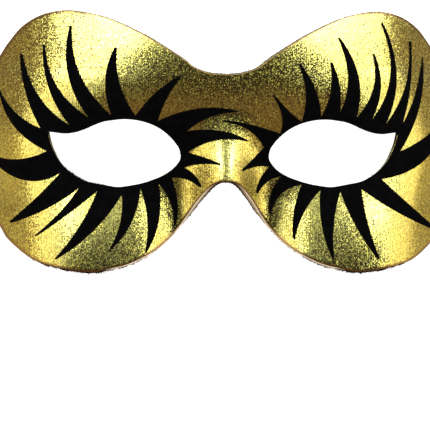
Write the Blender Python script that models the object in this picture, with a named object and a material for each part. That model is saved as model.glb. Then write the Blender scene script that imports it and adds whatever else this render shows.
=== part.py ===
# Half eye mask: a stiff moulded half face in gold knit, lined with black felt,
# with a black flocked figure of tapering lashes round each eye hole.
# It lies face up, resting on the rims of its two side ends.
# X runs across the face, +Y to the brow, +Z out of the face. Metres.
import bpy
import numpy as np
from math import radians, sin, cos

for old in list(bpy.data.objects):
    bpy.data.objects.remove(old, do_unlink=True)

# Sizes of the whole mask
HALF_WIDTH = 0.0947
LOBE_HEIGHT = 0.0508
SIDE_MIDDLE = 0.001
SIDE_FLAT = 0.025
SIDE_DRAW = 0.005
SIDE_EASE = 0.007
SIDE_TOP = 0.0325
SIDE_FOOT = -0.0311

# Sizes of the eye holes
EYE_INNER = 0.0166
EYE_WIDTH = 0.0508
EYE_HEIGHT = 0.0263
EYE_LEVEL = -0.0053
EYE_MIDDLE_ACROSS = 0.5

# Walls and the gaps between them
SHELL_WALL = 0.0016
FELT_WALL = 0.0010
FLOCK_WALL = 0.0008
PIECE_GAP = 0.0003
FELT_GAP = 0.0005
FELT_INSET = 0.0030
FELT_EYE_INSET = 0.0006
FLAT_DEPTH = 0.00045
LASH_TIP = 0.0007

# Short step for slopes and directions on the curved face
STEP = 0.0002

# The strap hole near each side end
STRAP_HOLE = 0.0030
STRAP_INSET = 0.0077
STRAP_SIDES = 20

# Tilt of the wall across the face: share of the half width, degrees
SECTION = (
    (0.00, 0.0),
    (0.16, 1.0),
    (0.36, 10.0),
    (0.54, 18.0),
    (0.70, 28.0),
    (0.80, 38.0),
    (0.90, 47.0),
    (1.00, 52.0),
    (1.15, 54.0),
)

# Upper outline from the brow dip to the side: share of the half width, share of the lobe height
UPPER_EDGE = (
    (0.000, 0.502),
    (0.057, 0.509),
    (0.094, 0.527),
    (0.129, 0.555),
    (0.164, 0.608),
    (0.224, 0.683),
    (0.303, 0.777),
    (0.387, 0.860),
    (0.470, 0.931),
    (0.544, 0.973),
    (0.629, 1.000),
    (0.705, 0.988),
    (0.757, 0.957),
    (0.816, 0.888),
    (0.860, 0.796),
    (0.896, 0.706),
)

# Lower outline from the side to the nose notch, in the same shares
LOWER_EDGE = (
    (0.896, -0.690),
    (0.862, -0.757),
    (0.804, -0.850),
    (0.757, -0.902),
    (0.650, -0.957),
    (0.530, -0.980),
    (0.453, -0.951),
    (0.391, -0.921),
    (0.298, -0.835),
    (0.232, -0.740),
    (0.182, -0.636),
    (0.143, -0.539),
    (0.116, -0.465),
    (0.076, -0.372),
    (0.052, -0.331),
    (0.030, -0.311),
    (0.000, -0.307),
)

# Upper rim of the eye hole from its inner end to its outer corner: share of the width, share of the height
EYE_UPPER = (
    (0.000, 0.000),
    (0.015, 0.110),
    (0.037, 0.173),
    (0.074, 0.260),
    (0.147, 0.379),
    (0.220, 0.454),
    (0.294, 0.500),
    (0.368, 0.526),
    (0.440, 0.532),
    (0.515, 0.517),
    (0.588, 0.493),
    (0.660, 0.441),
    (0.735, 0.377),
    (0.810, 0.335),
    (0.880, 0.322),
    (0.956, 0.342),
    (1.000, 0.350),
)

# Lower rim of the eye hole from its outer corner back to its inner end
EYE_LOWER = (
    (1.000, 0.350),
    (0.980, 0.191),
    (0.956, 0.077),
    (0.910, -0.085),
    (0.846, -0.221),
    (0.770, -0.327),
    (0.700, -0.390),
    (0.625, -0.420),
    (0.550, -0.447),
    (0.480, -0.467),
    (0.368, -0.438),
    (0.294, -0.405),
    (0.220, -0.356),
    (0.147, -0.298),
    (0.074, -0.210),
    (0.030, -0.125),
    (0.007, -0.060),
    (0.000, 0.000),
)

# Lashes of the eye on the -X side, in order round the hole.
# Points in shares of the eye width outward and of the eye height upward:
# root across, root up, bend across, bend up, tip across, tip up, back bend across, back bend up
LASHES_LEFT = (
    (1.050, 0.395, 1.160, 0.940, 1.190, 1.490, 1.060, 0.855),
    (0.835, 0.440, 0.985, 0.970, 1.020, 1.610, 0.930, 1.010),
    (0.695, 0.550, 0.845, 1.185, 0.820, 1.885, 0.755, 1.165),
    (0.525, 0.585, 0.570, 1.085, 0.490, 1.555, 0.465, 1.040),
    (0.345, 0.580, 0.200, 0.905, 0.010, 1.150, 0.110, 0.840),
    (0.180, 0.500, -0.120, 0.680, -0.425, 0.640, -0.215, 0.555),
    (-0.035, 0.355, -0.260, 0.360, -0.480, 0.215, -0.255, 0.210),
    (-0.055, 0.050, -0.170, -0.030, -0.285, -0.140, -0.155, -0.130),
    (-0.025, -0.175, -0.100, -0.275, -0.150, -0.450, -0.045, -0.345),
    (0.070, -0.320, 0.025, -0.695, 0.050, -1.025, 0.080, -0.695),
    (0.175, -0.405, 0.175, -0.925, 0.275, -1.415, 0.260, -0.940),
    (0.310, -0.475, 0.380, -0.985, 0.545, -1.390, 0.465, -0.995),
    (0.450, -0.580, 0.655, -1.085, 0.940, -1.505, 0.765, -1.040),
    (0.630, -0.520, 0.855, -0.865, 1.085, -1.170, 0.905, -0.825),
    (0.765, -0.470, 1.005, -0.775, 1.270, -0.970, 1.080, -0.615),
    (0.900, -0.245, 1.175, -0.355, 1.450, 0.050, 1.235, -0.050),
    (1.005, 0.065, 1.245, 0.435, 1.360, 0.990, 1.235, 0.630),
)

# Lashes of the eye on the +X side, in the same columns
LASHES_RIGHT = (
    (0.090, 0.325, 0.095, 0.590, 0.030, 0.875, 0.145, 0.660),
    (0.250, 0.500, 0.275, 0.905, 0.225, 1.320, 0.350, 0.945),
    (0.395, 0.560, 0.465, 0.925, 0.470, 1.340, 0.535, 0.985),
    (0.540, 0.620, 0.600, 1.140, 0.530, 1.710, 0.680, 1.140),
    (0.665, 0.540, 0.800, 0.985, 0.805, 1.485, 0.855, 0.990),
    (0.780, 0.500, 0.940, 1.180, 0.885, 1.945, 0.985, 1.200),
    (0.895, 0.450, 1.065, 1.050, 1.115, 1.700, 1.100, 1.060),
    (1.025, 0.440, 1.145, 0.930, 1.220, 1.465, 1.170, 0.735),
    (1.010, 0.065, 1.200, 0.260, 1.395, 0.545, 1.200, -0.070),
    (0.865, -0.345, 1.085, -0.725, 1.310, -1.085, 1.000, -0.840),
    (0.710, -0.490, 0.755, -1.010, 0.835, -1.510, 0.665, -1.040),
    (0.550, -0.530, 0.495, -1.020, 0.490, -1.515, 0.405, -1.020),
    (0.400, -0.505, 0.275, -0.840, 0.205, -1.215, 0.205, -0.810),
    (0.260, -0.425, 0.110, -0.555, 0.020, -0.845, 0.025, -0.555),
    (0.105, -0.300, -0.005, -0.375, -0.095, -0.540, -0.065, -0.340),
    (0.010, -0.160, -0.095, -0.160, -0.210, -0.220, -0.115, -0.035),
    (-0.035, 0.125, -0.160, 0.370, -0.350, 0.495, -0.130, 0.445),
)

# Swells and hollows pressed into the wall, which fade out towards the side ends:
# place across, place up, spread across, spread up as shares of the half width, and height in metres
PRESSED = (
    (0.42, -0.02, 0.38, 0.18, -0.0070),
    (0.74, -0.52, 0.37, 0.46, 0.0130),
    (0.98, -0.34, 0.25, 0.32, 0.0065),
    (0.17, -0.42, 0.15, 0.32, -0.0080),
    (0.28, -0.60, 0.12, 0.30, 0.0036),
)
SIDE_FADE_FROM = 0.80
SIDE_FADE_TO = 0.99
SIDE_LEVEL_INNER = 0.012
SIDE_LEVEL_OUTER = 0.030

# Above the brow line the wall rolls back; the line falls away from the nose towards the lobes
BROW_LEVEL = 0.0310
BROW_FALL = 0.0120
BROW_FALL_FROM = 0.028
BROW_FALL_TO = 0.062
BROW_ROUND = 0.080

SETBACK_DEPTH = 0.0065
SETBACK_TOP = 0.008
SETBACK_FOOT = -0.024
NOSE_HEIGHT = 0.0112
NOSE_TOP = 0.013
NOSE_FOOT = -0.019
NOSE_SPREAD_TOP = 0.0090
NOSE_SPREAD_FOOT = 0.0115


def ramp(start, end, value):
    """0 at start, 1 at end, eased between."""
    share = np.clip((value - start) / (end - start), 0.0, 1.0)
    return share * share * (3.0 - 2.0 * share)


DROP_ACROSS = np.linspace(0.0, SECTION[-1][0] * HALF_WIDTH, 2400)
DROP_SLOPE = np.tan(np.radians(np.interp(
    DROP_ACROSS, [row[0] * HALF_WIDTH for row in SECTION], [row[1] for row in SECTION])))
DROP = np.concatenate(([0.0], np.cumsum((DROP_SLOPE[1:] + DROP_SLOPE[:-1]) / 2.0 * np.diff(DROP_ACROSS))))


def side_bow(y):
    """How much nearer the centre line the rim lies at a level than at its widest, eased off past the flat."""
    level = np.abs(y - SIDE_MIDDLE)
    within = np.minimum(level, SIDE_FLAT)
    past = level - within
    bow = SIDE_DRAW / SIDE_FLAT ** 2
    return bow * (within ** 2 + 2.0 * SIDE_FLAT * SIDE_EASE * (1.0 - np.exp(-past / SIDE_EASE)))


def form(x, y):
    """Height of the middle of the shell wall over a place on the face, before it is set on the table."""
    x = np.abs(x)
    reach = x + side_bow(y)
    height = -np.interp(reach, DROP_ACROSS, DROP)
    brow_line = BROW_LEVEL - BROW_FALL * ramp(BROW_FALL_FROM, BROW_FALL_TO, x)
    pressed = -SETBACK_DEPTH * ramp(SETBACK_TOP, SETBACK_FOOT, y)
    pressed = pressed - np.maximum(y - brow_line, 0.0) ** 2 / (2.0 * BROW_ROUND)
    for across, up, spread_x, spread_y, rise in PRESSED:
        own_side = np.exp(-((x / HALF_WIDTH - across) / spread_x) ** 2)
        other_side = np.exp(-((x / HALF_WIDTH + across) / spread_x) ** 2)
        pressed = pressed + rise * (own_side + other_side) * np.exp(-((y / HALF_WIDTH - up) / spread_y) ** 2)
    foot = ramp(NOSE_TOP, NOSE_FOOT, y)
    spread = NOSE_SPREAD_TOP + (NOSE_SPREAD_FOOT - NOSE_SPREAD_TOP) * foot
    pressed = pressed + NOSE_HEIGHT * foot * np.exp(-(x / spread) ** 2)
    near_side = ramp(SIDE_FADE_FROM * HALF_WIDTH, SIDE_FADE_TO * HALF_WIDTH, reach)
    near_strap = ramp(SIDE_LEVEL_OUTER, SIDE_LEVEL_INNER, np.abs(y - SIDE_MIDDLE))
    return height + (1.0 - near_side * near_strap) * pressed


def normal(x, y):
    """Direction out of the face at a place."""
    slope_x = (form(x + STEP, y) - form(x - STEP, y)) / (2.0 * STEP)
    slope_y = (form(x, y + STEP) - form(x, y - STEP)) / (2.0 * STEP)
    out = np.array((-slope_x, -slope_y, np.ones_like(slope_x)))
    return (out / np.linalg.norm(out, axis=0)).T


def curve(rows, count):
    """Smooth curve through the rows, sampled evenly."""
    points = np.array(rows, dtype=float)
    ends = np.vstack((2.0 * points[0] - points[1], points, 2.0 * points[-1] - points[-2]))
    out = []
    for i in range(1, len(ends) - 2):
        before, start, end, after = ends[i - 1:i + 3]
        long_before = np.linalg.norm(start - before) ** 0.5
        long_here = np.linalg.norm(end - start) ** 0.5
        long_after = np.linalg.norm(after - end) ** 0.5
        leave = (start - before) / long_before - (end - before) / (long_before + long_here) \
            + (end - start) / long_here
        arrive = (end - start) / long_here - (after - start) / (long_here + long_after) \
            + (after - end) / long_after
        for t in np.linspace(0.0, 1.0, 12, endpoint=False):
            out.append((2 * t ** 3 - 3 * t ** 2 + 1) * start + (t ** 3 - 2 * t ** 2 + t) * leave * long_here
                       + (3 * t ** 2 - 2 * t ** 3) * end + (t ** 3 - t ** 2) * arrive * long_here)
    out.append(points[-1])
    return evenly(np.array(out), count)


def evenly(points, count):
    """The same line with count points at even spacing."""
    along = np.concatenate(([0.0], np.cumsum(np.linalg.norm(np.diff(points, axis=0), axis=1))))
    steps = np.linspace(0.0, along[-1], count)
    return np.array([[np.interp(s, along, points[:, 0]), np.interp(s, along, points[:, 1])] for s in steps])


def moved(line, distance, closed):
    """The line moved to its left by a distance; an open line keeps both ends on the centre line."""
    if closed:
        ahead = np.roll(line, -1, axis=0) - np.roll(line, 1, axis=0)
    else:
        ahead = np.gradient(line, axis=0)
        ahead[0] = (abs(ahead[0, 0]), 0.0)
        ahead[-1] = (-abs(ahead[-1, 0]), 0.0)
    ahead = ahead / np.linalg.norm(ahead, axis=1)[:, None]
    return line + distance * np.column_stack((-ahead[:, 1], ahead[:, 0]))


def outline():
    """Outer edge of the +X half from the brow dip round to the nose notch."""
    size = np.array((HALF_WIDTH, LOBE_HEIGHT))
    upper = curve(UPPER_EDGE, 120) * size
    level = np.linspace(SIDE_TOP, SIDE_FOOT, 60)
    bow = SIDE_DRAW / SIDE_FLAT ** 2
    side = np.column_stack((HALF_WIDTH - bow * (level - SIDE_MIDDLE) ** 2, level))
    lower = curve(LOWER_EDGE, 120) * size
    return evenly(np.vstack((upper[:-3], side, lower[3:])), 700)


def eye_loop():
    """Edge of the +X eye hole, from the inner end over the top to the outer corner and back."""
    size = np.array((EYE_WIDTH, EYE_HEIGHT))
    shift = np.array((EYE_INNER, EYE_LEVEL))
    upper = curve(EYE_UPPER, 200) * size + shift
    lower = curve(EYE_LOWER, 200) * size + shift
    return upper, lower


EYE_UP, EYE_DOWN = eye_loop()
EYE_EDGE = np.vstack((EYE_UP[:-1], EYE_DOWN[:-1]))
EYE_CORNER = EYE_UP[-1]
EYE_MIDDLE = np.array((EYE_INNER + EYE_MIDDLE_ACROSS * EYE_WIDTH, EYE_LEVEL))
OUTLINE = outline()
RIM_HEIGHT = float(form(np.array([HALF_WIDTH - SHELL_WALL / 2.0]), np.array([SIDE_MIDDLE]))[0])
TABLE = RIM_HEIGHT - FLAT_DEPTH


def turn(points):
    """Angle of each point round the middle of the eye."""
    away = points - EYE_MIDDLE
    return np.arctan2(away[:, 1], away[:, 0])


def at_turns(loop, turns):
    """Points of a closed loop at the given angles round the middle of the eye."""
    angles = turn(loop)
    order = np.argsort(angles)
    angles = angles[order]
    ordered = loop[order]
    angles = np.concatenate((angles - 2 * np.pi, angles, angles + 2 * np.pi))
    ordered = np.vstack((ordered, ordered, ordered))
    return np.column_stack((np.interp(turns, angles, ordered[:, 0]), np.interp(turns, angles, ordered[:, 1])))


def stand(points, lift):
    """Points of the face put on the wall, lifted off its middle by a distance."""
    x, y = points[:, 0], points[:, 1]
    place = np.column_stack((x, y, form(x, y) - TABLE))
    return place + normal(x, y) * lift


def solid(name, points, faces, colour, metallic, roughness):
    """Mesh object of one closed piece with its own material."""
    mesh = bpy.data.meshes.new(name)
    mesh.from_pydata([tuple(map(float, p)) for p in points], [], faces)
    mesh.validate()
    mesh.polygons.foreach_set("use_smooth", [True] * len(mesh.polygons))
    piece = bpy.data.objects.new(name, mesh)
    bpy.context.scene.collection.objects.link(piece)
    material = bpy.data.materials.new(name)
    material.use_nodes = True
    shader = material.node_tree.nodes["Principled BSDF"]
    shader.inputs["Base Color"].default_value = (*colour, 1.0)
    shader.inputs["Metallic"].default_value = metallic
    shader.inputs["Roughness"].default_value = roughness
    mesh.materials.append(material)
    return piece


def mirrored(piece):
    """The -X half added to a +X half."""
    mirror = piece.modifiers.new("other half", 'MIRROR')
    mirror.use_axis = (True, False, False)
    mirror.use_clip = True
    mirror.merge_threshold = 0.00005


def strap_hole(piece, cutter):
    """The strap hole cut through one wall."""
    cut = piece.modifiers.new("strap hole", 'BOOLEAN')
    cut.operation = 'DIFFERENCE'
    cut.solver = 'EXACT'
    cut.object = cutter


def face_wall(name, wall, lift, edge_inset, eye_inset, stations, rings, rounded, look):
    """The +X half of a wall that follows the face: front and back skins joined at the edges.
    lift is from the middle of the shell to the middle of this wall."""
    edge = moved(OUTLINE, -edge_inset, False)
    centre = np.linspace(edge[-1], edge[0], 90)[1:-1]
    outer = np.vstack((edge, centre))
    hole = moved(EYE_EDGE, eye_inset, True)
    # stations round the eye, closer where the loops are longer, with the corners kept
    dense = np.linspace(-np.pi, np.pi, 1441)[:-1]
    both = [np.linalg.norm(np.diff(at_turns(loop, np.append(dense, np.pi)), axis=0), axis=1)
            for loop in (outer, hole)]
    along = np.concatenate(([0.0], np.cumsum(both[0] + both[1])))
    turns = np.interp(np.linspace(0.0, along[-1], stations, endpoint=False), along, np.append(dense, np.pi))
    corners = [float(turn(np.array([point]))[0]) for point in (edge[0], edge[-1], EYE_CORNER)]
    for corner in corners:
        turns[np.argmin(np.abs(turns - corner))] = corner
    turns = np.sort(turns)[::-1]
    out_line = at_turns(outer, turns)
    in_line = at_turns(hole, turns)
    first = int(np.argmin(np.abs(turns - corners[0])))
    turns = np.roll(turns, -first)
    out_line = np.roll(out_line, -first, axis=0)
    in_line = np.roll(in_line, -first, axis=0)
    last = int(np.argmin(np.abs(turns - corners[1])))
    out_line[0] = edge[0]
    out_line[last] = edge[-1]
    out_line[last:, 0] = 0.0
    # the section at each station: eye edge, front skin, outer edge, back skin
    front, back = lift + wall / 2.0, lift - wall / 2.0
    shares = np.linspace(0.0, 1.0, rings + 1)
    columns = []
    for share in shares:
        columns.append(stand(in_line + (out_line - in_line) * share, front))
    outward = moved(out_line[:last + 1], 1.0, False) - out_line[:last + 1]
    roll_steps = (45, 90, 135) if rounded else ()
    roll = {}
    for step in roll_steps:
        flat = out_line[:last + 1]
        out3 = stand(flat + outward * STEP, lift) - stand(flat, lift)
        out3 = out3 / np.linalg.norm(out3, axis=1)[:, None]
        off = normal(flat[:, 0], flat[:, 1])
        place = stand(flat, lift) + (out3 * sin(radians(step)) + off * cos(radians(step))) * wall / 2.0
        full = np.zeros((len(turns), 3))
        full[:last + 1] = place
        roll[step] = full
    for step in roll_steps:
        columns.append(roll[step])
    for share in shares[::-1]:
        columns.append(stand(in_line + (out_line - in_line) * share, back))
    if rounded:
        inward = moved(in_line, -1.0, True) - in_line
        in3 = stand(in_line + inward * STEP, lift) - stand(in_line, lift)
        in3 = in3 / np.linalg.norm(in3, axis=1)[:, None]
        columns.append(stand(in_line, lift) + in3 * wall / 2.0)
    grid = np.array(columns)
    grid[:, :, 2] = np.maximum(grid[:, :, 2], 0.0)
    steps, count = grid.shape[:2]
    index = -np.ones((steps, count), dtype=int)
    points = []
    edge_columns = range(rings + 1, rings + 1 + len(roll_steps))
    for i in range(steps):
        for j in range(count):
            if i in edge_columns and j > last:
                continue
            index[i, j] = len(points)
            points.append(grid[i, j])
    faces = []
    for i in range(steps):
        after = (i + 1) % steps
        for j in range(count):
            beside = (j + 1) % count
            at_edge = rings <= i < rings + 1 + len(roll_steps)
            if at_edge and not (j < last):
                continue
            faces.append((index[i, j], index[i, beside], index[after, beside], index[after, j]))
    colour, metallic, roughness = look
    piece = solid(name, points, faces, colour, metallic, roughness)
    return piece


def quad_curve(start, middle, end, count):
    """Arc from start to end that passes middle halfway."""
    t = np.linspace(0.0, 1.0, count)[:, None]
    pull = 2.0 * middle - (start + end) / 2.0
    return (1 - t) ** 2 * start + 2 * t * (1 - t) * pull + t ** 2 * end


def lash_figure(name, rows, side, look, length_steps, root_steps):
    """Flocked rim round one eye hole and its lashes, one thin solid. side is -1 or +1 in X."""
    def place(across, up):
        return np.array((EYE_INNER + across * EYE_WIDTH, EYE_LEVEL + up * EYE_HEIGHT))
    plan = []
    faces = []

    def add(point):
        plan.append(point)
        return len(plan) - 1

    roots = [place(row[0], row[1]) for row in rows]
    root_index = [add(point) for point in roots]
    base_rows = []
    for i, row in enumerate(rows):
        following = (i + 1) % len(rows)
        start, end = roots[i], roots[following]
        tip = place(row[4], row[5])
        across = (end - start) / np.linalg.norm(end - start)
        rise = quad_curve(start, place(row[2], row[3]), tip - across * LASH_TIP / 2.0, length_steps + 1)
        fall = quad_curve(end, place(row[6], row[7]), tip + across * LASH_TIP / 2.0, length_steps + 1)
        previous = [root_index[i]] + [add(start + (end - start) * k / root_steps)
                                      for k in range(1, root_steps)] + [root_index[following]]
        base_rows.append(previous)
        for j in range(1, length_steps + 1):
            line = [add(rise[j] + (fall[j] - rise[j]) * k / root_steps) for k in range(root_steps + 1)]
            for k in range(root_steps):
                faces.append((previous[k], previous[k + 1], line[k + 1], line[k]))
            previous = line
    around = [index for row in base_rows for index in row[:-1]]
    turns = turn(np.array([plan[index] for index in around]))
    inner = [add(point) for point in at_turns(EYE_EDGE, turns)]
    for k in range(len(around)):
        after = (k + 1) % len(around)
        faces.append((inner[k], inner[after], around[after], around[k]))
    plan = np.array(plan)
    plan[:, 0] *= side
    lift = SHELL_WALL / 2.0 + PIECE_GAP
    lower = stand(plan, lift)
    upper = stand(plan, lift + FLOCK_WALL)
    count = len(plan)
    used = {}
    for face in faces:
        for a, b in zip(face, face[1:] + face[:1]):
            used[(a, b)] = True
    rims = [(a, b) for a, b in used if (b, a) not in used]
    skins = [tuple(count + v for v in face) for face in faces] + [tuple(reversed(face)) for face in faces]
    skins += [(a, b, count + b, count + a) for a, b in rims]
    colour, metallic, roughness = look
    return solid(name, np.vstack((lower, upper)), skins, colour, metallic, roughness)


GOLD = ((0.62, 0.50, 0.16), 0.9, 0.35)
BLACK_FELT = ((0.02, 0.02, 0.02), 0.0, 0.95)
BLACK_FLOCK = ((0.01, 0.01, 0.01), 0.0, 0.9)

shell = face_wall("gold_shell", SHELL_WALL, 0.0, SHELL_WALL / 2.0, SHELL_WALL / 2.0, 70, 8, True, GOLD)
felt_lift = -(SHELL_WALL / 2.0 + FELT_GAP + FELT_WALL / 2.0)
felt = face_wall("felt_lining", FELT_WALL, felt_lift, FELT_INSET, FELT_EYE_INSET, 48, 6, False, BLACK_FELT)

# the rod that cuts the strap hole, square to the wall
hole_place = np.array([[HALF_WIDTH - STRAP_INSET, SIDE_MIDDLE]])
hole_point = stand(hole_place, 0.0)[0]
hole_axis = normal(hole_place[:, 0], hole_place[:, 1])[0]
bpy.ops.mesh.primitive_cylinder_add(vertices=STRAP_SIDES, radius=STRAP_HOLE / 2.0, depth=6.0 * SHELL_WALL,
                                    location=tuple(hole_point))
strap_rod = bpy.context.object
strap_rod.name = "strap_rod"
strap_rod.rotation_euler = (0.0, float(np.arctan2(hole_axis[0], hole_axis[2])), 0.0)
strap_rod.hide_render = True
strap_rod.display_type = 'WIRE'

for piece in (shell, felt):
    strap_hole(piece, strap_rod)
    mirrored(piece)

lash_figure("lashes_left", LASHES_LEFT, -1.0, BLACK_FLOCK, 7, 2)
lash_figure("lashes_right", LASHES_RIGHT, 1.0, BLACK_FLOCK, 7, 2)
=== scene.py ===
import bmesh
import bpy
import numpy as np
from math import cos, pi, radians, sin, tau
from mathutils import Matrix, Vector
from mathutils.kdtree import KDTree


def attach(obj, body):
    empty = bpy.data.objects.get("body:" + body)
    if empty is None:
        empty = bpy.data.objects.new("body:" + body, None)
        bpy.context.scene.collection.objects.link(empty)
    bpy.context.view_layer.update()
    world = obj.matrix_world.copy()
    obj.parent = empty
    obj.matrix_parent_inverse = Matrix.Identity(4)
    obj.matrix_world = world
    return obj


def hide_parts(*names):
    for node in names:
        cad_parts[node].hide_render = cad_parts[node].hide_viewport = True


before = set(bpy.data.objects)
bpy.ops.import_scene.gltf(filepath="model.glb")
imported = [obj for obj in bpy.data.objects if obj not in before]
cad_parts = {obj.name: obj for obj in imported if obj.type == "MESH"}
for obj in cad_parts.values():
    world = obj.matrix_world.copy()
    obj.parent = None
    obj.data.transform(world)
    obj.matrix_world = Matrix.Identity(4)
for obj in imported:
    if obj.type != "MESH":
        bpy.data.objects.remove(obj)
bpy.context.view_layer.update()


# The stiff base: a half face pressed from thick cream buckram, bowed round to the ears, with a raised nose,
# sunk eye sockets and full cheeks. The gold cloth and the felt are glued to its two faces and cut out with
# it. The gold covers its cut edge, apart from a cream line beside the nose.
HALF_WIDTH = 0.0947
LOBE_HEIGHT = 0.0508
SIDE_MIDDLE = 0.001
SIDE_FLAT = 0.025
SIDE_DRAW = 0.005
SIDE_EASE = 0.007
SIDE_TOP = 0.0325
SIDE_FOOT = -0.0311
EYE_INNER = 0.0166
EYE_WIDTH = 0.0508
EYE_HEIGHT = 0.0263
EYE_LEVEL = -0.0053
WALL = 0.0016
RIM_DEPTH = 0.00045
BASE_FRONT = 0.00043
BASE_THICKNESS = 0.00123
BASE_INSET = 0.0004
NOSE_EDGE = 0.0008
STRAP_INSET = 0.0077
STRAP_RADIUS = 0.0015
PUNCH_LENGTH = 0.009
SMOOTH_ANGLE = radians(40.0)
CREAM_SHADE = (0.62, 0.53, 0.36, 1.0)
CREAM_LIGHT = (0.86, 0.80, 0.63, 1.0)

# tilt of the wall across the face: share of the half width, degrees
SECTION = ((0.00, 0.0), (0.16, 1.0), (0.36, 10.0), (0.54, 18.0), (0.70, 28.0), (0.80, 38.0), (0.90, 47.0),
           (1.00, 52.0), (1.15, 54.0))

# upper outline from the brow dip to the side, in shares of the half width and of the lobe height
UPPER_EDGE = ((0.000, 0.502), (0.057, 0.509), (0.094, 0.527), (0.129, 0.555), (0.164, 0.608),
              (0.224, 0.683), (0.303, 0.777), (0.387, 0.860), (0.470, 0.931), (0.544, 0.973),
              (0.629, 1.000), (0.705, 0.988), (0.757, 0.957), (0.816, 0.888), (0.860, 0.796),
              (0.896, 0.706))

# lower outline from the side to the nose notch
LOWER_EDGE = ((0.896, -0.690), (0.862, -0.757), (0.804, -0.850), (0.757, -0.902), (0.650, -0.957),
              (0.530, -0.980), (0.453, -0.951), (0.391, -0.921), (0.298, -0.835), (0.232, -0.740),
              (0.182, -0.636), (0.143, -0.539), (0.116, -0.465), (0.076, -0.372), (0.052, -0.331),
              (0.030, -0.311), (0.000, -0.307))

# rim of the eye hole over the top and back underneath, in shares of its width and height
EYE_UPPER = ((0.000, 0.000), (0.015, 0.110), (0.037, 0.173), (0.074, 0.260), (0.147, 0.379),
             (0.220, 0.454), (0.294, 0.500), (0.368, 0.526), (0.440, 0.532), (0.515, 0.517),
             (0.588, 0.493), (0.660, 0.441), (0.735, 0.377), (0.810, 0.335), (0.880, 0.322),
             (0.956, 0.342), (1.000, 0.350))
EYE_LOWER = ((1.000, 0.350), (0.980, 0.191), (0.956, 0.077), (0.910, -0.085), (0.846, -0.221),
             (0.770, -0.327), (0.700, -0.390), (0.625, -0.420), (0.550, -0.447), (0.480, -0.467),
             (0.368, -0.438), (0.294, -0.405), (0.220, -0.356), (0.147, -0.298), (0.074, -0.210),
             (0.030, -0.125), (0.007, -0.060), (0.000, 0.000))

# sockets and nose valleys pressed in, cheeks and side flares raised: place across and up, spread across
# and up, all in shares of the half width, and the height
PRESSED = ((0.42, -0.02, 0.38, 0.18, -0.0070), (0.74, -0.52, 0.37, 0.46, 0.0130),
           (0.98, -0.34, 0.25, 0.32, 0.0065), (0.17, -0.42, 0.15, 0.32, -0.0080),
           (0.28, -0.60, 0.12, 0.30, 0.0036))
BROW_LEVEL = 0.0310
BROW_FALL = 0.0120
BROW_FALL_FROM = 0.028
BROW_FALL_TO = 0.062
BROW_ROUND = 0.080
SETBACK_DEPTH = 0.0065
SETBACK_TOP = 0.008
SETBACK_FOOT = -0.024
NOSE_HEIGHT = 0.0112
NOSE_TOP = 0.013
NOSE_FOOT = -0.019
NOSE_SPREAD_TOP = 0.0090
NOSE_SPREAD_FOOT = 0.0115
SIDE_FADE_FROM = 0.80 * HALF_WIDTH
SIDE_FADE_TO = 0.99 * HALF_WIDTH
SIDE_LEVEL_INNER = 0.012
SIDE_LEVEL_OUTER = 0.030


def ramp(start, end, value):
    """0 at start, 1 at end, eased between."""
    share = np.clip((value - start) / (end - start), 0.0, 1.0)
    return share * share * (3.0 - 2.0 * share)


ACROSS = np.linspace(0.0, SECTION[-1][0] * HALF_WIDTH, 2400)
SLOPE = np.tan(np.radians(np.interp(ACROSS, [row[0] * HALF_WIDTH for row in SECTION],
                                    [row[1] for row in SECTION])))
DROP = np.concatenate(([0.0], np.cumsum((SLOPE[1:] + SLOPE[:-1]) / 2.0 * np.diff(ACROSS))))
BOW = SIDE_DRAW / SIDE_FLAT ** 2


def side_bow(y):
    """How much nearer the middle the rim lies at a level than at its widest."""
    level = np.abs(y - SIDE_MIDDLE)
    within = np.minimum(level, SIDE_FLAT)
    return BOW * (within ** 2 + 2.0 * SIDE_FLAT * SIDE_EASE * (1.0 - np.exp(-(level - within) / SIDE_EASE)))


def form(x, y):
    """Height of the middle of the wall over a place on the face."""
    x = np.abs(x)
    reach = x + side_bow(y)
    pressed = -SETBACK_DEPTH * ramp(SETBACK_TOP, SETBACK_FOOT, y)
    above_brow = np.maximum(y - BROW_LEVEL + BROW_FALL * ramp(BROW_FALL_FROM, BROW_FALL_TO, x), 0.0)
    pressed = pressed - above_brow ** 2 / (2.0 * BROW_ROUND)
    for across, up, spread_x, spread_y, rise in PRESSED:
        both = sum(np.exp(-((x / HALF_WIDTH + side * across) / spread_x) ** 2) for side in (-1.0, 1.0))
        pressed = pressed + rise * both * np.exp(-((y / HALF_WIDTH - up) / spread_y) ** 2)
    foot = ramp(NOSE_TOP, NOSE_FOOT, y)
    nose_spread = NOSE_SPREAD_TOP + (NOSE_SPREAD_FOOT - NOSE_SPREAD_TOP) * foot
    pressed = pressed + NOSE_HEIGHT * foot * np.exp(-(x / nose_spread) ** 2)
    at_side = ramp(SIDE_LEVEL_OUTER, SIDE_LEVEL_INNER, np.abs(y - SIDE_MIDDLE))
    at_side = at_side * ramp(SIDE_FADE_FROM, SIDE_FADE_TO, reach)
    return (1.0 - at_side) * pressed - np.interp(reach, ACROSS, DROP)


TABLE = float(form(np.array([HALF_WIDTH - WALL / 2.0]), np.array([SIDE_MIDDLE]))[0]) - RIM_DEPTH


def facing(x, y):
    """Direction out of the face at a place."""
    step = 0.0002
    slope_x = (form(x + step, y) - form(x - step, y)) / (2.0 * step)
    slope_y = (form(x, y + step) - form(x, y - step)) / (2.0 * step)
    out = np.array((-slope_x, -slope_y, np.ones_like(slope_x)))
    return (out / np.linalg.norm(out, axis=0)).T


def on_face(places, lift):
    """Places of the face put on the wall, lifted off its middle."""
    x, y = places[:, 0], places[:, 1]
    return np.column_stack((x, y, form(x, y) - TABLE)) + facing(x, y) * lift


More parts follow.
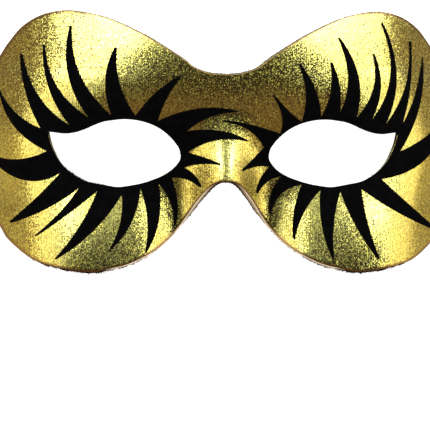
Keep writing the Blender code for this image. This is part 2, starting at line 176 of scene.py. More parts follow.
def evenly(places, count):
    """The line drawn again with its places an even step apart."""
    along = np.concatenate(([0.0], np.cumsum(np.linalg.norm(np.diff(places, axis=0), axis=1))))
    steps = np.linspace(0.0, along[-1], count)
    return np.column_stack((np.interp(steps, along, places[:, 0]), np.interp(steps, along, places[:, 1])))


def curve(rows, count):
    """Smooth line through the rows."""
    rows = np.array(rows, dtype=float)
    rows = np.vstack((2.0 * rows[0] - rows[1], rows, 2.0 * rows[-1] - rows[-2]))
    drawn = []
    for before, start, end, after in zip(rows, rows[1:], rows[2:], rows[3:]):
        a, b, c = (np.linalg.norm(q - p) ** 0.5 for p, q in ((before, start), (start, end), (end, after)))
        leave = (start - before) / a - (end - before) / (a + b) + (end - start) / b
        arrive = (end - start) / b - (after - start) / (b + c) + (after - end) / c
        for t in np.linspace(0.0, 1.0, 12, endpoint=False):
            drawn.append((2 * t ** 3 - 3 * t ** 2 + 1) * start + (t ** 3 - 2 * t ** 2 + t) * leave * b
                         + (3 * t ** 2 - 2 * t ** 3) * end + (t ** 3 - t ** 2) * arrive * b)
    drawn.append(rows[-2])
    return evenly(np.array(drawn), count)


def moved(line, distance, closed):
    """The line moved to its left; an open line keeps both ends on the middle of the face."""
    if closed:
        ahead = np.roll(line, -1, axis=0) - np.roll(line, 1, axis=0)
    else:
        ahead = np.gradient(line, axis=0)
        ahead[0] = (abs(ahead[0, 0]), 0.0)
        ahead[-1] = (-abs(ahead[-1, 0]), 0.0)
    ahead = ahead / np.linalg.norm(ahead, axis=1)[:, None]
    return line + np.column_stack((-ahead[:, 1], ahead[:, 0])) * np.reshape(distance, (-1, 1))


LOBE = np.array((HALF_WIDTH, LOBE_HEIGHT))
side_level = np.linspace(SIDE_TOP, SIDE_FOOT, 60)
side_line = np.column_stack((HALF_WIDTH - BOW * (side_level - SIDE_MIDDLE) ** 2, side_level))
OUTLINE = np.vstack(((curve(UPPER_EDGE, 240) * LOBE)[:-6], side_line, (curve(LOWER_EDGE, 240) * LOBE)[6:]))
OUTLINE = evenly(OUTLINE, 1400)
EYE_SIZE = np.array((EYE_WIDTH, EYE_HEIGHT))
EYE_START = np.array((EYE_INNER, EYE_LEVEL))
EYE_CORNER = EYE_SIZE * EYE_UPPER[-1] + EYE_START
EYE_EDGE = np.vstack(((curve(EYE_UPPER, 300) * EYE_SIZE + EYE_START)[:-1],
                      (curve(EYE_LOWER, 300) * EYE_SIZE + EYE_START)[:-1]))
EYE_MIDDLE = EYE_START + np.array((EYE_WIDTH / 2.0, 0.0))


def turn(places):
    """Angle of each place round the middle of the eye hole."""
    return np.arctan2(places[:, 1] - EYE_MIDDLE[1], places[:, 0] - EYE_MIDDLE[0])


def at_turns(loop, turns):
    """Places of a closed line at the given angles round the middle of the eye hole."""
    order = np.argsort(turn(loop))
    angles = turn(loop)[order]
    angles = np.concatenate((angles - tau, angles, angles + tau))
    ordered = np.tile(loop[order], (3, 1))
    return np.column_stack((np.interp(turns, angles, ordered[:, 0]),
                            np.interp(turns, angles, ordered[:, 1])))


def face_blank(name, stations, rings, edge_inset, eye_inset):
    """The face drawn out flat, ring by ring, from the eye hole to the outline, then mirrored."""
    edge = moved(OUTLINE, -np.broadcast_to(edge_inset, len(OUTLINE)), False)
    outer = np.vstack((edge, np.linspace(edge[-1], edge[0], 180)[1:-1]))
    hole = moved(EYE_EDGE, np.broadcast_to(eye_inset, len(EYE_EDGE)), True)
    dense = np.linspace(-pi, pi, 2881)
    pace = sum(np.linalg.norm(np.diff(at_turns(loop, dense), axis=0), axis=1) for loop in (outer, hole))
    along = np.concatenate(([0.0], np.cumsum(pace)))
    turns = np.interp(np.linspace(0.0, along[-1], stations, endpoint=False), along, dense)
    for corner in turn(np.array((edge[0], edge[-1], EYE_CORNER))):
        turns[np.argmin(np.abs(turns - corner))] = corner
    inside, outside = at_turns(hole, turns), at_turns(outer, turns)
    first, last = (int(np.argmin(np.abs(turns - corner))) for corner in turn(edge[[0, -1]]))
    outside[first], outside[last] = edge[0], edge[-1]
    outside[outside[:, 0] < 0.00002, 0] = 0.0
    # a circle at the eye, extruded ring by ring
    bpy.ops.object.select_all(action='DESELECT')
    start, step = 0.010, 0.001
    centre = (float(EYE_MIDDLE[0]), float(EYE_MIDDLE[1]), 0.0)
    bpy.ops.mesh.primitive_circle_add(vertices=stations, radius=start, location=centre)
    piece = bpy.context.object
    piece.name = piece.data.name = name
    bpy.ops.object.mode_set(mode='EDIT')
    bpy.ops.mesh.select_all(action='SELECT')
    for ring in range(rings):
        bpy.ops.mesh.extrude_edges_move()
        wider = (start + (ring + 1) * step) / (start + ring * step)
        bpy.ops.transform.resize(value=(wider, wider, 1.0), center_override=centre)
    bpy.ops.object.mode_set(mode='OBJECT')
    bpy.ops.object.transform_apply(location=True, rotation=True, scale=True)
    # each ring pulled to its place between the two rims
    flat = np.array([v.co for v in piece.data.vertices])[:, :2] - EYE_MIDDLE
    ring = np.round((np.hypot(flat[:, 0], flat[:, 1]) - start) / step) / rings
    ticks = np.arctan2(flat[:, 1], flat[:, 0]) / tau * stations
    station = np.round(ticks - np.min(ticks)).astype(int) % stations
    placed = inside[station] + (outside[station] - inside[station]) * ring[:, None]
    piece.data.vertices.foreach_set("co", np.column_stack((placed, np.zeros(len(placed)))).ravel())
    piece.data.update()
    if np.mean([polygon.normal.z for polygon in piece.data.polygons]) < 0.0:
        piece.data.flip_normals()
    mirror = piece.modifiers.new("other half", 'MIRROR')
    mirror.merge_threshold = 0.00002
    bpy.ops.object.modifier_apply(modifier=mirror.name)
    return piece


def lay_on_form(piece, lift):
    """Presses a flat blank on the form."""
    flat = np.array([v.co for v in piece.data.vertices])
    piece.data.vertices.foreach_set("co", on_face(flat, lift).ravel())
    piece.data.update()


def thicken(piece, thickness):
    """Gives a layer its thickness towards the back, and rests it on the table."""
    bpy.context.view_layer.objects.active = piece
    wall = piece.modifiers.new("thickness", 'SOLIDIFY')
    wall.thickness = thickness
    wall.offset = -1.0
    wall.use_even_offset = True
    bpy.ops.object.modifier_apply(modifier=wall.name)
    for vertex in piece.data.vertices:
        vertex.co.z = max(vertex.co.z, 0.0)


def punch_straps(piece):
    """Cuts the strap hole through the layer near each side end."""
    place = np.array([[HALF_WIDTH - STRAP_INSET, SIDE_MIDDLE]])
    point, axis = on_face(place, 0.0)[0], facing(place[:, 0], place[:, 1])[0]
    for side in (1.0, -1.0):
        bpy.ops.object.select_all(action='DESELECT')
        bpy.ops.mesh.primitive_cylinder_add(vertices=32, radius=STRAP_RADIUS, depth=PUNCH_LENGTH,
                                            location=(side * point[0], point[1], point[2]),
                                            rotation=(0.0, side * float(np.arctan2(axis[0], axis[2])), 0.0))
        rod = bpy.context.object
        cut = piece.modifiers.new("strap hole", 'BOOLEAN')
        cut.operation = 'DIFFERENCE'
        cut.solver = 'EXACT'
        cut.object = rod
        bpy.context.view_layer.objects.active = piece
        bpy.ops.object.modifier_apply(modifier=cut.name)
        bpy.data.objects.remove(rod, do_unlink=True)


def smooth(piece):
    """Smooth shading, with the cut edges left crisp."""
    bpy.ops.object.select_all(action='DESELECT')
    bpy.context.view_layer.objects.active = piece
    piece.select_set(True)
    bpy.ops.object.shade_smooth_by_angle(angle=SMOOTH_ANGLE)


class Line:
    """A value or colour on its way through a material: sums written on it become nodes."""

    def __init__(self, tree, socket=None):
        self.tree = tree
        self.socket = socket

    def node(self, kind, settings=None, sockets=None, out=0):
        """Adds a node: its settings are set first, then the values or links of its sockets."""
        made = self.tree.nodes.new(kind)
        for name, value in (settings or {}).items():
            setattr(made, name, value)
        for name, value in (sockets or {}).items():
            if isinstance(value, Line):
                self.tree.links.new(value.socket, made.inputs[name])
            else:
                made.inputs[name].default_value = value
        return Line(self.tree, made.outputs[out])

    def maths(self, operation, other=0.0, turned=False):
        first, second = (other, self) if turned else (self, other)
        return self.node('ShaderNodeMath', {"operation": operation}, {0: first, 1: second})

    def __add__(self, other):
        return self.maths('ADD', other)

    def __sub__(self, other):
        return self.maths('SUBTRACT', other)

    def __rsub__(self, other):
        return self.maths('SUBTRACT', other, True)

    def __mul__(self, other):
        return self.maths('MULTIPLY', other)

    __radd__ = __add__
    __rmul__ = __mul__

    def eased(self, low, high):
        """0 below low, 1 above high, eased between."""
        return self.node('ShaderNodeMapRange', {"interpolation_type": 'SMOOTHSTEP'},
                         {"Value": self, "From Min": low, "From Max": high})

    def blend(self, start, end):
        """Colour from start to end as this value goes from 0 to 1."""
        return self.node('ShaderNodeMix', {"data_type": 'RGBA'}, {0: self, 6: start, 7: end}, out=2)

    def noise(self, scale, detail=1.0, rough=0.5):
        """Cloudy noise over this place, from 0 to 1."""
        return self.node('ShaderNodeTexNoise', {},
                         {"Vector": self, "Scale": scale, "Detail": detail, "Roughness": rough})


def finish_of(name, fixed, wired):
    """A material: fixed holds what is the same all over, wired makes what changes over the surface."""
    material = bpy.data.materials.new(name)
    material.use_nodes = True
    tree = material.node_tree
    shader = tree.nodes["Principled BSDF"]
    for socket, value in fixed.items():
        shader.inputs[socket].default_value = value
    for socket, line in wired(Line(tree)).items():
        tree.links.new(line.socket, shader.inputs[socket])
    return material


def buckram(line):
    """Cream stiffened cloth: mottled, with a fine rough grain."""
    place = line.node('ShaderNodeTexCoord', out="Object")
    mottle = place.noise(420.0, 3.0)
    grain = place.noise(2600.0, 2.0)
    colour = (mottle * 0.7 + grain * 0.3).eased(0.3, 0.7).blend(CREAM_SHADE, CREAM_LIGHT)
    return {"Base Color": colour, "Roughness": 0.75 + 0.2 * grain,
            "Normal": line.node('ShaderNodeBump', {},
                                {"Height": grain, "Distance": 0.0001, "Strength": 0.6})}


# 1 along the outline beside the nose, 0 elsewhere
beside_nose = ramp(-0.013, -0.021, OUTLINE[:, 1]) * ramp(0.052, 0.040, OUTLINE[:, 0])
mask_base = face_blank("mask_base", 200, 30, BASE_INSET - NOSE_EDGE * beside_nose, BASE_INSET)
lay_on_form(mask_base, BASE_FRONT)
thicken(mask_base, BASE_THICKNESS)
punch_straps(mask_base)
smooth(mask_base)
mask_base.data.materials.append(finish_of("cream buckram", {"Specular IOR Level": 0.3}, buckram))
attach(mask_base, "root")


# The gold knit: a thin stretch fabric printed with bright foil, glued down over the whole front of the
# base. Its cut edges roll over the rim and round the eye holes. The foil lies on upright rows of small knit
# loops that tilt this way and that, so the cloth glitters.
KNIT_ROLL = 0.0005
KNIT_SKIRT = 0.0004
KNIT_THICKNESS = 0.00035
LEG_WIDTH = 0.00038
LOOP_HEIGHT = 0.00034
LEG_TILT = 0.08
LOOP_TILT = 0.17
LEG_WANDER = 0.0008
FOIL = {"Metallic": 1.0, "Coat Weight": 1.0, "Coat Roughness": 0.25, "Coat IOR": 1.5}
FOIL_WARM = (0.90, 0.84, 0.17, 1.0)
FOIL_COOL = (0.88, 0.87, 0.22, 1.0)
FOIL_WORN = (0.42, 0.38, 0.07, 1.0)
# brown painted shade for the band along the rolled rim of the knit
PAINTED_RIM_SHADE = (0.36, 0.24, 0.07, 1.0)
# dark olive painted shade for the grooves between the knit loops and rows
PAINTED_GAP_SHADE = (0.26, 0.23, 0.06, 1.0)


def roll_edges(piece, radius, steps, skirt):
    """Extrudes every open edge of a sheet over a round corner and a short way down."""
    sheet = bmesh.new()
    sheet.from_mesh(piece.data)
    rim = [edge for edge in sheet.edges if edge.is_boundary]
    start, outward, down = {}, {}, {}
    for edge in rim:
        centre = edge.link_faces[0].calc_center_median()
        for vertex in edge.verts:
            start[vertex] = vertex.co.copy()
            down[vertex] = -vertex.normal
            out = (edge.verts[1].co - edge.verts[0].co).cross(vertex.normal).normalized()
            if out.dot(vertex.co - centre) < 0.0:
                out.negate()
            outward[vertex] = outward.get(vertex, 0.0 * out) + out
    for angle in [*np.linspace(0.0, pi / 2.0, steps + 1)[1:], None]:
        grown = bmesh.ops.extrude_edge_only(sheet, edges=rim)["geom"]
        rim = [item for item in grown if isinstance(item, bmesh.types.BMEdge)]
        fresh = [item for item in grown if isinstance(item, bmesh.types.BMVert)]
        known = set(start)
        for vertex in fresh:
            beside = (edge.other_vert(vertex) for edge in vertex.link_edges)
            old = next(other for other in beside if other in known)
            out = outward[old].normalized()
            turned = pi / 2.0 if angle is None else angle
            low = radius * (1.0 - cos(turned)) + (skirt if angle is None else 0.0)
            vertex.co = start[old] + out * radius * sin(turned) + down[old] * low
            start[vertex], outward[vertex], down[vertex] = start[old], outward[old], down[old]
        for vertex in known:
            del start[vertex]
    bmesh.ops.recalc_face_normals(sheet, faces=sheet.faces)
    sheet.to_mesh(piece.data)
    sheet.free()
    if np.mean([polygon.normal.z for polygon in piece.data.polygons]) < 0.0:
        piece.data.flip_normals()


def cloth_map(piece):
    """Lays the piece's own map along its surface, in metres: the weave keeps its scale on steep sides."""
    lengths = np.concatenate(([0.0], np.cumsum(np.hypot(np.diff(ACROSS), np.diff(DROP)))))
    places = np.array([v.co for v in piece.data.vertices])
    across = np.sign(places[:, 0]) * np.interp(np.abs(places[:, 0]), ACROSS, lengths)
    layer = piece.data.uv_layers.get("cloth") or piece.data.uv_layers.new(name="cloth")
    corners = np.array([loop.vertex_index for loop in piece.data.loops])
    layer.data.foreach_set("uv", np.column_stack((across, places[:, 1]))[corners].ravel())
    # how far each place lies from the outline, for the brown painted shade along the rim
    tree = KDTree(len(OUTLINE))
    for index, point in enumerate(OUTLINE):
        tree.insert((point[0], point[1], 0.0), index)
    tree.balance()
    rim = [tree.find((abs(place[0]), place[1], 0.0))[2] for place in places]
    piece.data.attributes.new("rim", 'FLOAT', 'POINT').data.foreach_set("value", rim)


def foil_knit(line):
    """Yellow gold foil on the slanting legs of the knit loops, with painted shade in dark olive in the
    grooves between the loops and rows, and a brown painted shade along the rim.
    """
    place = line.node('ShaderNodeUVMap', {"uv_map": "cloth"})
    across, along = (line.node('ShaderNodeSeparateXYZ', {}, {0: place}, out=axis) for axis in "XY")
    leg = (across + place.noise(150.0) * LEG_WANDER) * (1.0 / LEG_WIDTH)
    which_leg = leg.maths('FLOOR')
    other_leg = which_leg.maths('FLOORED_MODULO', 2.0)
    in_leg = leg - which_leg
    row = along * (1.0 / LOOP_HEIGHT) + (in_leg - 0.5) * (other_leg - 0.5)
    which_row = row.maths('FLOOR')
    loop = line.node('ShaderNodeCombineXYZ', {}, {0: which_leg, 1: which_row})
    chance = line.node('ShaderNodeTexWhiteNoise', {"noise_dimensions": '2D'}, {"Vector": loop}, out="Color")
    shade = line.node('ShaderNodeTexWhiteNoise', {"noise_dimensions": '2D'}, {"Vector": loop}, out="Value")
    lean = line.node('ShaderNodeVectorMath', {"operation": 'MULTIPLY_ADD'},
                     {0: chance, 1: (LOOP_TILT,) * 3, 2: (-LOOP_TILT / 2.0,) * 3})
    slant = line.node('ShaderNodeCombineXYZ', {}, {0: (other_leg - 0.5) * LEG_TILT})
    flat = line.node('ShaderNodeNewGeometry', out="Normal")
    leaned = line.node('ShaderNodeVectorMath', {"operation": 'ADD'}, {0: flat, 1: lean})
    leaned = line.node('ShaderNodeVectorMath', {"operation": 'ADD'}, {0: leaned, 1: slant})
    leaned = line.node('ShaderNodeVectorMath', {"operation": 'NORMALIZE'}, {0: leaned})
    # painted shade: the gaps between the knit legs and between the rows are coloured dark olive, as shade
    # in the grooves
    wale = (leg * 0.5 - (leg * 0.5).maths('FLOOR') - 0.5).maths('ABSOLUTE')
    between = (row - which_row - 0.5).maths('ABSOLUTE')
    gap = wale.eased(0.28, 0.46).maths('MAXIMUM', between.eased(0.30, 0.48))
    gap = gap * place.noise(900.0, 2.0).eased(0.35, 0.6)
    rim = line.node('ShaderNodeAttribute', {"attribute_name": "rim"}, out="Fac")
    # painted shade: a brown band within about a millimetre of the outline, fading inward
    rim_shade = rim.eased(0.0013, 0.0004)
    crumple = place.noise(1250.0, 2.0)
    wash = place.noise(60.0, 2.0)
    gold = wash.eased(0.35, 0.65).blend(FOIL_WARM, FOIL_COOL)
    bright = (shade * 0.6 + crumple * 0.4).eased(0.27, 0.64)
    colour = bright.blend(FOIL_WORN, gold)
    colour = gap.blend(colour, PAINTED_GAP_SHADE)
    colour = rim_shade.blend(colour, PAINTED_RIM_SHADE)
    crackle = {"Height": crumple, "Distance": 0.00005, "Strength": 1.0, "Normal": leaned}
    return {"Base Color": colour, "Roughness": shade * shade * shade * 0.30 + 0.14,
            "Normal": line.node('ShaderNodeBump', {}, crackle)}


gold_knit = face_blank("gold_knit", 260, 40, KNIT_ROLL, KNIT_ROLL)
lay_on_form(gold_knit, WALL / 2.0)
roll_edges(gold_knit, KNIT_ROLL, 4, KNIT_SKIRT)
thicken(gold_knit, KNIT_THICKNESS)
punch_straps(gold_knit)
cloth_map(gold_knit)
smooth(gold_knit)
gold_knit.data.materials.append(finish_of("gold foil knit", FOIL, foil_knit))
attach(gold_knit, "root")
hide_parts("gold_shell")


# The lining: black needled felt glued to the back, trimmed with the rest but a hair wider, so that its edge
# draws a thin dark line round the mask. It stops short of the two side ends that stand on the table.
FELT_THICKNESS = 0.0011
FELT_BACK = -WALL / 2.0 - 0.00003
FELT_PROUD = 0.00015
FOOT_PROUD = 0.0003
SIDE_SHORT = 0.0026
EYE_SHORT = 0.0002
RAGGED = 0.00008
FIBRE_RADIUS = 0.00008
FIBRE_ROOT = -WALL / 2.0 - 0.0005
FIBRE_TIP = -WALL / 2.0 - 0.0004
LOBE_FIBRE = 0.0014
LEFT_EYE_FIBRE = 0.0013
RIGHT_EYE_FIBRE = 0.0006
FELT_BLACK = (0.004, 0.004, 0.005, 1.0)
FELT_DUSTY = (0.022, 0.022, 0.026, 1.0)


def felt(line):
    """Dull black felt: short tangled fibres, a little dusty."""
    place = line.node('ShaderNodeTexCoord', out="Object")
    tangle = place.noise(1500.0, 4.0, 0.7)
    clumps = place.noise(260.0, 2.0)
    colour = (tangle * 0.6 + clumps * 0.4).eased(0.35, 0.7).blend(FELT_BLACK, FELT_DUSTY)
    return {"Base Color": colour, "Roughness": 0.9 + 0.1 * clumps,
            "Normal": line.node('ShaderNodeBump', {},
                                {"Height": tangle, "Distance": 0.0003, "Strength": 0.9})}


# how far inside the outline the felt is cut, place by place
ragged = np.random.default_rng(7).normal(0.0, RAGGED, len(OUTLINE))
ragged = np.convolve(np.tile(ragged, 3), np.ones(5) / 5.0, 'same')[len(OUTLINE):2 * len(OUTLINE)]
at_foot = ramp(-0.036, -0.047, OUTLINE[:, 1])
trim = -FELT_PROUD - FOOT_PROUD * at_foot + ragged * (1.0 + 2.0 * at_foot)
trim = trim + SIDE_SHORT * ramp(0.080, 0.088, OUTLINE[:, 0])
felt_back = face_blank("felt_back", 200, 30, trim, EYE_SHORT)
lay_on_form(felt_back, FELT_BACK)
thicken(felt_back, FELT_THICKNESS)
punch_straps(felt_back)
felt_back.data.materials.append(finish_of("black felt", {"Specular IOR Level": 0.15}, felt))


def tease(root_line, tip_line, chance, count, side, seed):
    """Loose fibres pulled out of the felt's cut edge: thin bent slivers, joined to the felt."""
    pick = np.random.default_rng(seed)
    start = pick.choice(len(root_line), count, p=chance / chance.sum())
    end = np.clip(start + pick.integers(-4, 5, count), 0, len(tip_line) - 1)
    reach = pick.uniform(0.25, 1.0, (count, 1)) ** 1.5
    roots, full = root_line[start], tip_line[end]
    tips = roots + (full - roots) * reach
    roots = on_face(roots, FIBRE_ROOT)
    tips = on_face(tips, FIBRE_TIP) + pick.normal(0.0, 0.0001, (count, 3))
    middles = (roots + tips) / 2.0 + pick.normal(0.0, 0.00008, (count, 3))
    corners = np.array([(cos(angle), sin(angle), 0.0) for angle in (0.0, tau / 3.0, tau * 2.0 / 3.0)])
    corners = corners * FIBRE_RADIUS
    points, faces = [], []
    for root, middle, tip in zip(roots, middles, tips):
        first = len(points)
        points += [*(root + corners), *(middle + 0.7 * corners), tip]
        for k in range(3):
            after = (k + 1) % 3
            faces.append((first + k, first + after, first + 3 + after, first + 3 + k))
            faces.append((first + 3 + k, first + 3 + after, first + 6))
        faces.append((first + 2, first + 1, first))
    points = np.array(points) * (side, 1.0, 1.0)
    points[:, 2] = np.maximum(points[:, 2], 0.0)
    fuzz = bpy.data.meshes.new("fuzz")
    fuzz.from_pydata(points.tolist(), [], faces)
    sheet = bmesh.new()
    sheet.from_mesh(fuzz)
    bmesh.ops.recalc_face_normals(sheet, faces=sheet.faces)
    sheet.from_mesh(felt_back.data)
    sheet.to_mesh(felt_back.data)
    sheet.free()
    bpy.data.meshes.remove(fuzz)


# the fibres stand thickest under the cheeks, beside the nose and under the eye holes
felt_edge = moved(OUTLINE, -trim, False)
along_lobe = 0.15 + ramp(-0.042, -0.048, OUTLINE[:, 1]) + ramp(0.088, 0.080, OUTLINE[:, 0]) * 0.1
along_lobe = along_lobe + 0.9 * beside_nose
for side, seed in ((-1.0, 3), (1.0, 4)):
    tease(felt_edge, moved(OUTLINE, LOBE_FIBRE, False), along_lobe, 900, side, seed)
under_eye = ramp(-0.009, -0.013, EYE_EDGE[:, 1]) * ramp(0.040, 0.050, EYE_EDGE[:, 0])
tease(EYE_EDGE, moved(EYE_EDGE, -LEFT_EYE_FIBRE, True), under_eye + 0.02, 260, -1.0, 5)
tease(EYE_EDGE, moved(EYE_EDGE, -RIGHT_EYE_FIBRE, True), under_eye + 0.05, 60, 1.0, 6)
smooth(felt_back)
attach(felt_back, "root")
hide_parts("felt_lining")


# The lashes: one figure of black flock round each eye hole, a narrow rim with seventeen tapering curved
# lashes, stuck on the gold knit. The two sides differ a little. Each row is one lash in shares of the eye
# hole: root, bend, tip and the bend of its other side, each as across and up.
LASHES_LEFT = (
    (1.050, 0.395, 1.160, 0.940, 1.190, 1.490, 1.060, 0.855),
    (0.835, 0.440, 0.985, 0.970, 1.020, 1.610, 0.930, 1.010),
    (0.695, 0.550, 0.845, 1.185, 0.820, 1.885, 0.755, 1.165),
    (0.525, 0.585, 0.570, 1.085, 0.490, 1.555, 0.465, 1.040),
    (0.345, 0.580, 0.200, 0.905, 0.010, 1.150, 0.110, 0.840),
    (0.180, 0.500, -0.120, 0.680, -0.425, 0.640, -0.215, 0.555),
    (-0.035, 0.355, -0.260, 0.360, -0.480, 0.215, -0.255, 0.210),
    (-0.055, 0.050, -0.170, -0.030, -0.285, -0.140, -0.155, -0.130),
    (-0.025, -0.175, -0.100, -0.275, -0.150, -0.450, -0.045, -0.345),
    (0.070, -0.320, 0.025, -0.695, 0.050, -1.025, 0.080, -0.695),
    (0.175, -0.405, 0.175, -0.925, 0.275, -1.415, 0.260, -0.940),
    (0.310, -0.475, 0.380, -0.985, 0.545, -1.390, 0.465, -0.995),
    (0.450, -0.580, 0.655, -1.085, 0.940, -1.505, 0.765, -1.040),
    (0.630, -0.520, 0.855, -0.865, 1.085, -1.170, 0.905, -0.825),
    (0.765, -0.470, 1.005, -0.775, 1.270, -0.970, 1.080, -0.615),
    (0.900, -0.245, 1.175, -0.355, 1.450, 0.050, 1.235, -0.050),
    (1.005, 0.065, 1.245, 0.435, 1.360, 0.990, 1.235, 0.630),
)
LASHES_RIGHT = (
    (0.090, 0.325, 0.095, 0.590, 0.030, 0.875, 0.145, 0.660),
    (0.250, 0.500, 0.275, 0.905, 0.225, 1.320, 0.350, 0.945),
    (0.395, 0.560, 0.465, 0.925, 0.470, 1.340, 0.535, 0.985),
    (0.540, 0.620, 0.600, 1.140, 0.530, 1.710, 0.680, 1.140),
    (0.665, 0.540, 0.800, 0.985, 0.805, 1.485, 0.855, 0.990),
    (0.780, 0.500, 0.940, 1.180, 0.885, 1.945, 0.985, 1.200),
    (0.895, 0.450, 1.065, 1.050, 1.115, 1.700, 1.100, 1.060),
    (1.025, 0.440, 1.145, 0.930, 1.220, 1.465, 1.170, 0.735),
    (1.010, 0.065, 1.200, 0.260, 1.395, 0.545, 1.200, -0.070),
    (0.865, -0.345, 1.085, -0.725, 1.310, -1.085, 1.000, -0.840),
    (0.710, -0.490, 0.755, -1.010, 0.835, -1.510, 0.665, -1.040),
    (0.550, -0.530, 0.495, -1.020, 0.490, -1.515, 0.405, -1.020),
    (0.400, -0.505, 0.275, -0.840, 0.205, -1.215, 0.205, -0.810),
    (0.260, -0.425, 0.110, -0.555, 0.020, -0.845, 0.025, -0.555),
    (0.105, -0.300, -0.005, -0.375, -0.095, -0.540, -0.065, -0.340),
    (0.010, -0.160, -0.095, -0.160, -0.210, -0.220, -0.115, -0.035),
    (-0.035, 0.125, -0.160, 0.370, -0.350, 0.495, -0.130, 0.445),
)
LASH_TIP = 0.0007
FLOCK_LIFT = 0.00005
FLOCK_THICKNESS = 0.00032
FLOCK_BLACK = (0.0004, 0.0004, 0.0007, 1.0)
FLOCK_BRUSHED = (0.0022, 0.0022, 0.0030, 1.0)


def bent(start, middle, end, count):
    """Arc from start to end that passes middle halfway."""
    t = np.linspace(0.0, 1.0, count)[:, None]
    pull = 2.0 * middle - (start + end) / 2.0
    return (1 - t) ** 2 * start + 2 * t * (1 - t) * pull + t ** 2 * end


def lash_figure(name, rows, side, long_steps, wide_steps, rim_steps):
    """Cuts one eye's figure of flock flat, lays it on the knit and gives it its thickness."""
    plan, faces = [], []

    def add(place):
        plan.append(place)
        return len(plan) - 1

    points = [[EYE_START + EYE_SIZE * row[i:i + 2] for i in (0, 2, 4, 6)] for row in np.array(rows)]
    root_index = [add(point[0]) for point in points]
    around = []
    for i, (root, bend, tip, back) in enumerate(points):
        following = (i + 1) % len(points)
        end = points[following][0]
        across = (end - root) / np.linalg.norm(end - root) * LASH_TIP / 2.0
        rise = bent(root, bend, tip - across, long_steps + 1)
        fall = bent(end, back, tip + across, long_steps + 1)
        shares = np.linspace(0.0, 1.0, wide_steps + 1)
        before = [add(root + (end - root) * s) for s in shares[1:-1]]
        before = [root_index[i]] + before + [root_index[following]]
        around += before[:-1]
        for j in range(1, long_steps + 1):
            # the tip is rounded off over its last step
            beyond = (tip - (rise[-2] + fall[-2]) / 2.0) * 0.12 if j == long_steps else 0.0
            line = [add(rise[j] + (fall[j] - rise[j]) * s + beyond * (1.0 - (2.0 * s - 1.0) ** 2))
                    for s in shares]
            for k in range(wide_steps):
                faces.append((before[k], before[k + 1], line[k + 1], line[k]))
            before = line
    roots = np.array([plan[index] for index in around])
    rim = at_turns(EYE_EDGE, turn(roots))
    for step in range(rim_steps):
        share = (step + 1) / rim_steps
        inner = [add(place) for place in roots + (rim - roots) * share]
        for k in range(len(around)):
            after = (k + 1) % len(around)
            faces.append((inner[k], inner[after], around[after], around[k]))
        around = inner
    mesh = bpy.data.meshes.new(name)
    mesh.from_pydata([(float(x) * side, float(y), 0.0) for x, y in plan], [], faces)
    mesh.update()
    if np.mean([polygon.normal.z for polygon in mesh.polygons]) < 0.0:
        mesh.flip_normals()
    piece = bpy.data.objects.new(name, mesh)
    bpy.context.scene.collection.objects.link(piece)
    lay_on_form(piece, WALL / 2.0 + FLOCK_LIFT + FLOCK_THICKNESS)
    thicken(piece, FLOCK_THICKNESS)
    return piece


def flock(line):
    """Black flock: a dense pile of very short fibres, dead matt."""
    place = line.node('ShaderNodeTexCoord', out="Object")
    pile = place.noise(5200.0, 2.0, 0.6)
    brushed = place.noise(340.0, 2.0)
    colour = (pile * 0.5 + brushed * 0.5).eased(0.35, 0.7).blend(FLOCK_BLACK, FLOCK_BRUSHED)
    return {"Base Color": colour, "Roughness": 0.9 + 0.1 * pile,
            "Normal": line.node('ShaderNodeBump', {},
                                {"Height": pile, "Distance": 0.0001, "Strength": 0.8})}


black_flock = finish_of("black flock", {"Specular IOR Level": 0.05}, flock)
for name, node, rows, side in (("flock_left", "lashes_left", LASHES_LEFT, -1.0),
                               ("flock_right", "lashes_right", LASHES_RIGHT, 1.0)):
    lashes = lash_figure(name, rows, side, 24, 6, 3)
    smooth(lashes)
    lashes.data.materials.append(black_flock)
    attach(lashes, "root")
    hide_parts(node)


# The table and the lamps: a pale table, a tall soft lamp high on each side, a small one below it and a warm
# one further round, in a dim brown room with a pale ceiling.
TABLE_SHADE = (0.93, 0.93, 0.93, 1.0)
TABLE_LIGHT = (0.95, 0.95, 0.95, 1.0)
LAMP_WARM = (1.0, 0.85, 0.66)
WALL_DIM = (0.27, 0.18, 0.12, 1.0)
WALL_LIT = (0.74, 0.56, 0.33, 1.0)
CEILING_DIM = (0.018, 0.018, 0.016, 1.0)
CEILING_LIT = (0.85, 0.85, 0.82, 1.0)
FLOOR_BROWN = (0.22, 0.125, 0.085, 1.0)
BACKDROP = (0.90, 0.90, 0.90, 1.0)


def pale_paint(line):
    """Even pale paint that glows a little with the light of the room."""
    place = line.node('ShaderNodeTexCoord', out="Object")
    tone = place.noise(3.0, 2.0).eased(0.3, 0.7).blend(TABLE_SHADE, TABLE_LIGHT)
    return {"Base Color": tone, "Emission Color": tone}


bpy.ops.object.select_all(action='DESELECT')
bpy.ops.mesh.primitive_plane_add(size=30.0, location=(0.0, 0.0, -0.0002))
table = bpy.context.object
table.name = "table_top"
table.data.materials.append(finish_of("pale table", {"Roughness": 0.9, "Specular IOR Level": 0.1,
                                                     "Emission Strength": 1.0}, pale_paint))
table.visible_glossy = False
table.visible_diffuse = False


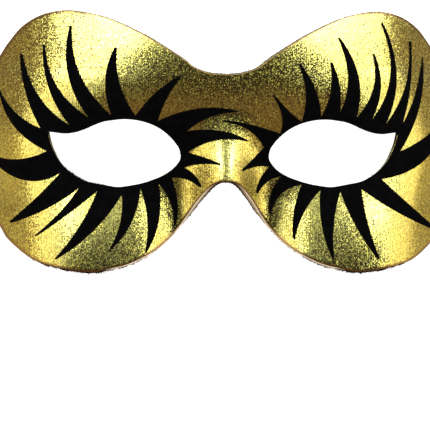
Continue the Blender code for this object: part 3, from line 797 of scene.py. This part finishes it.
def soft_lamp(name, angle, up, width, height, radiance):
    """An area lamp a metre off, aimed at the mask."""
    toward = Vector((sin(radians(angle)), up, cos(radians(angle)))).normalized()
    bpy.ops.object.light_add(type='AREA', location=toward,
                             rotation=toward.to_track_quat('Z', 'Y').to_euler())
    lamp = bpy.context.object
    lamp.name = name
    lamp.data.shape = 'RECTANGLE'
    lamp.data.size = width
    lamp.data.size_y = height
    lamp.data.energy = radiance * pi * width * height
    lamp.visible_camera = False
    return lamp


soft_lamp("lamp_left", -43.0, 0.59, 0.32, 0.84, 6.5)
soft_lamp("lamp_right", 50.0, 0.59, 0.32, 0.84, 6.5)
soft_lamp("card_left", -40.0, 0.05, 0.20, 0.20, 1.6)
soft_lamp("card_right", 45.0, 0.05, 0.26, 0.20, 2.8)
for name, angle in (("screen_left", -58.0), ("screen_right", 64.0)):
    screen = soft_lamp(name, angle, 0.08, 0.50, 0.42, 1.6)
    screen.data.color = LAMP_WARM

room = bpy.data.worlds.new("room")
bpy.context.scene.world = room
room.use_nodes = True
sky = Line(room.node_tree)
direction = sky.node('ShaderNodeTexCoord', out="Generated")
dx, dy = (sky.node('ShaderNodeSeparateXYZ', {}, {0: direction}, out=axis) for axis in ("X", "Y"))
aside = (dx - 0.05).maths('ABSOLUTE').eased(0.45, 0.90)
below = (0.0 - dy).eased(0.10, 0.45)
wall = (0.0 - dy).eased(-0.40, 0.20).blend(WALL_DIM, WALL_LIT)
ceiling = dy.eased(0.04, 0.52).blend(CEILING_DIM, CEILING_LIT)
colour = aside.blend(below.blend(ceiling, FLOOR_BROWN), wall)
seen = sky.node('ShaderNodeLightPath', out="Is Camera Ray")
colour = seen.blend(colour, BACKDROP)
room.node_tree.links.new(colour.socket, room.node_tree.nodes["Background"].inputs["Color"])

# The camera stands over the mask, four degrees to its right cheek.
CAMERA_YAW = radians(4.0)
CAMERA_AWAY = 1.1
VIEW_WIDTH = 0.1634
SENSOR = 36.0
aim = (-0.0043, -0.0281, 0.0385)
stand = (aim[0] - sin(CAMERA_YAW) * CAMERA_AWAY, aim[1], aim[2] + cos(CAMERA_YAW) * CAMERA_AWAY)
bpy.ops.object.camera_add(location=stand, rotation=(0.0, -CAMERA_YAW, 0.0))
camera = bpy.context.object
camera.data.sensor_width = SENSOR
camera.data.lens = SENSOR * CAMERA_AWAY / VIEW_WIDTH
bpy.context.scene.camera = camera
bpy.context.scene.view_settings.view_transform = 'Standard'
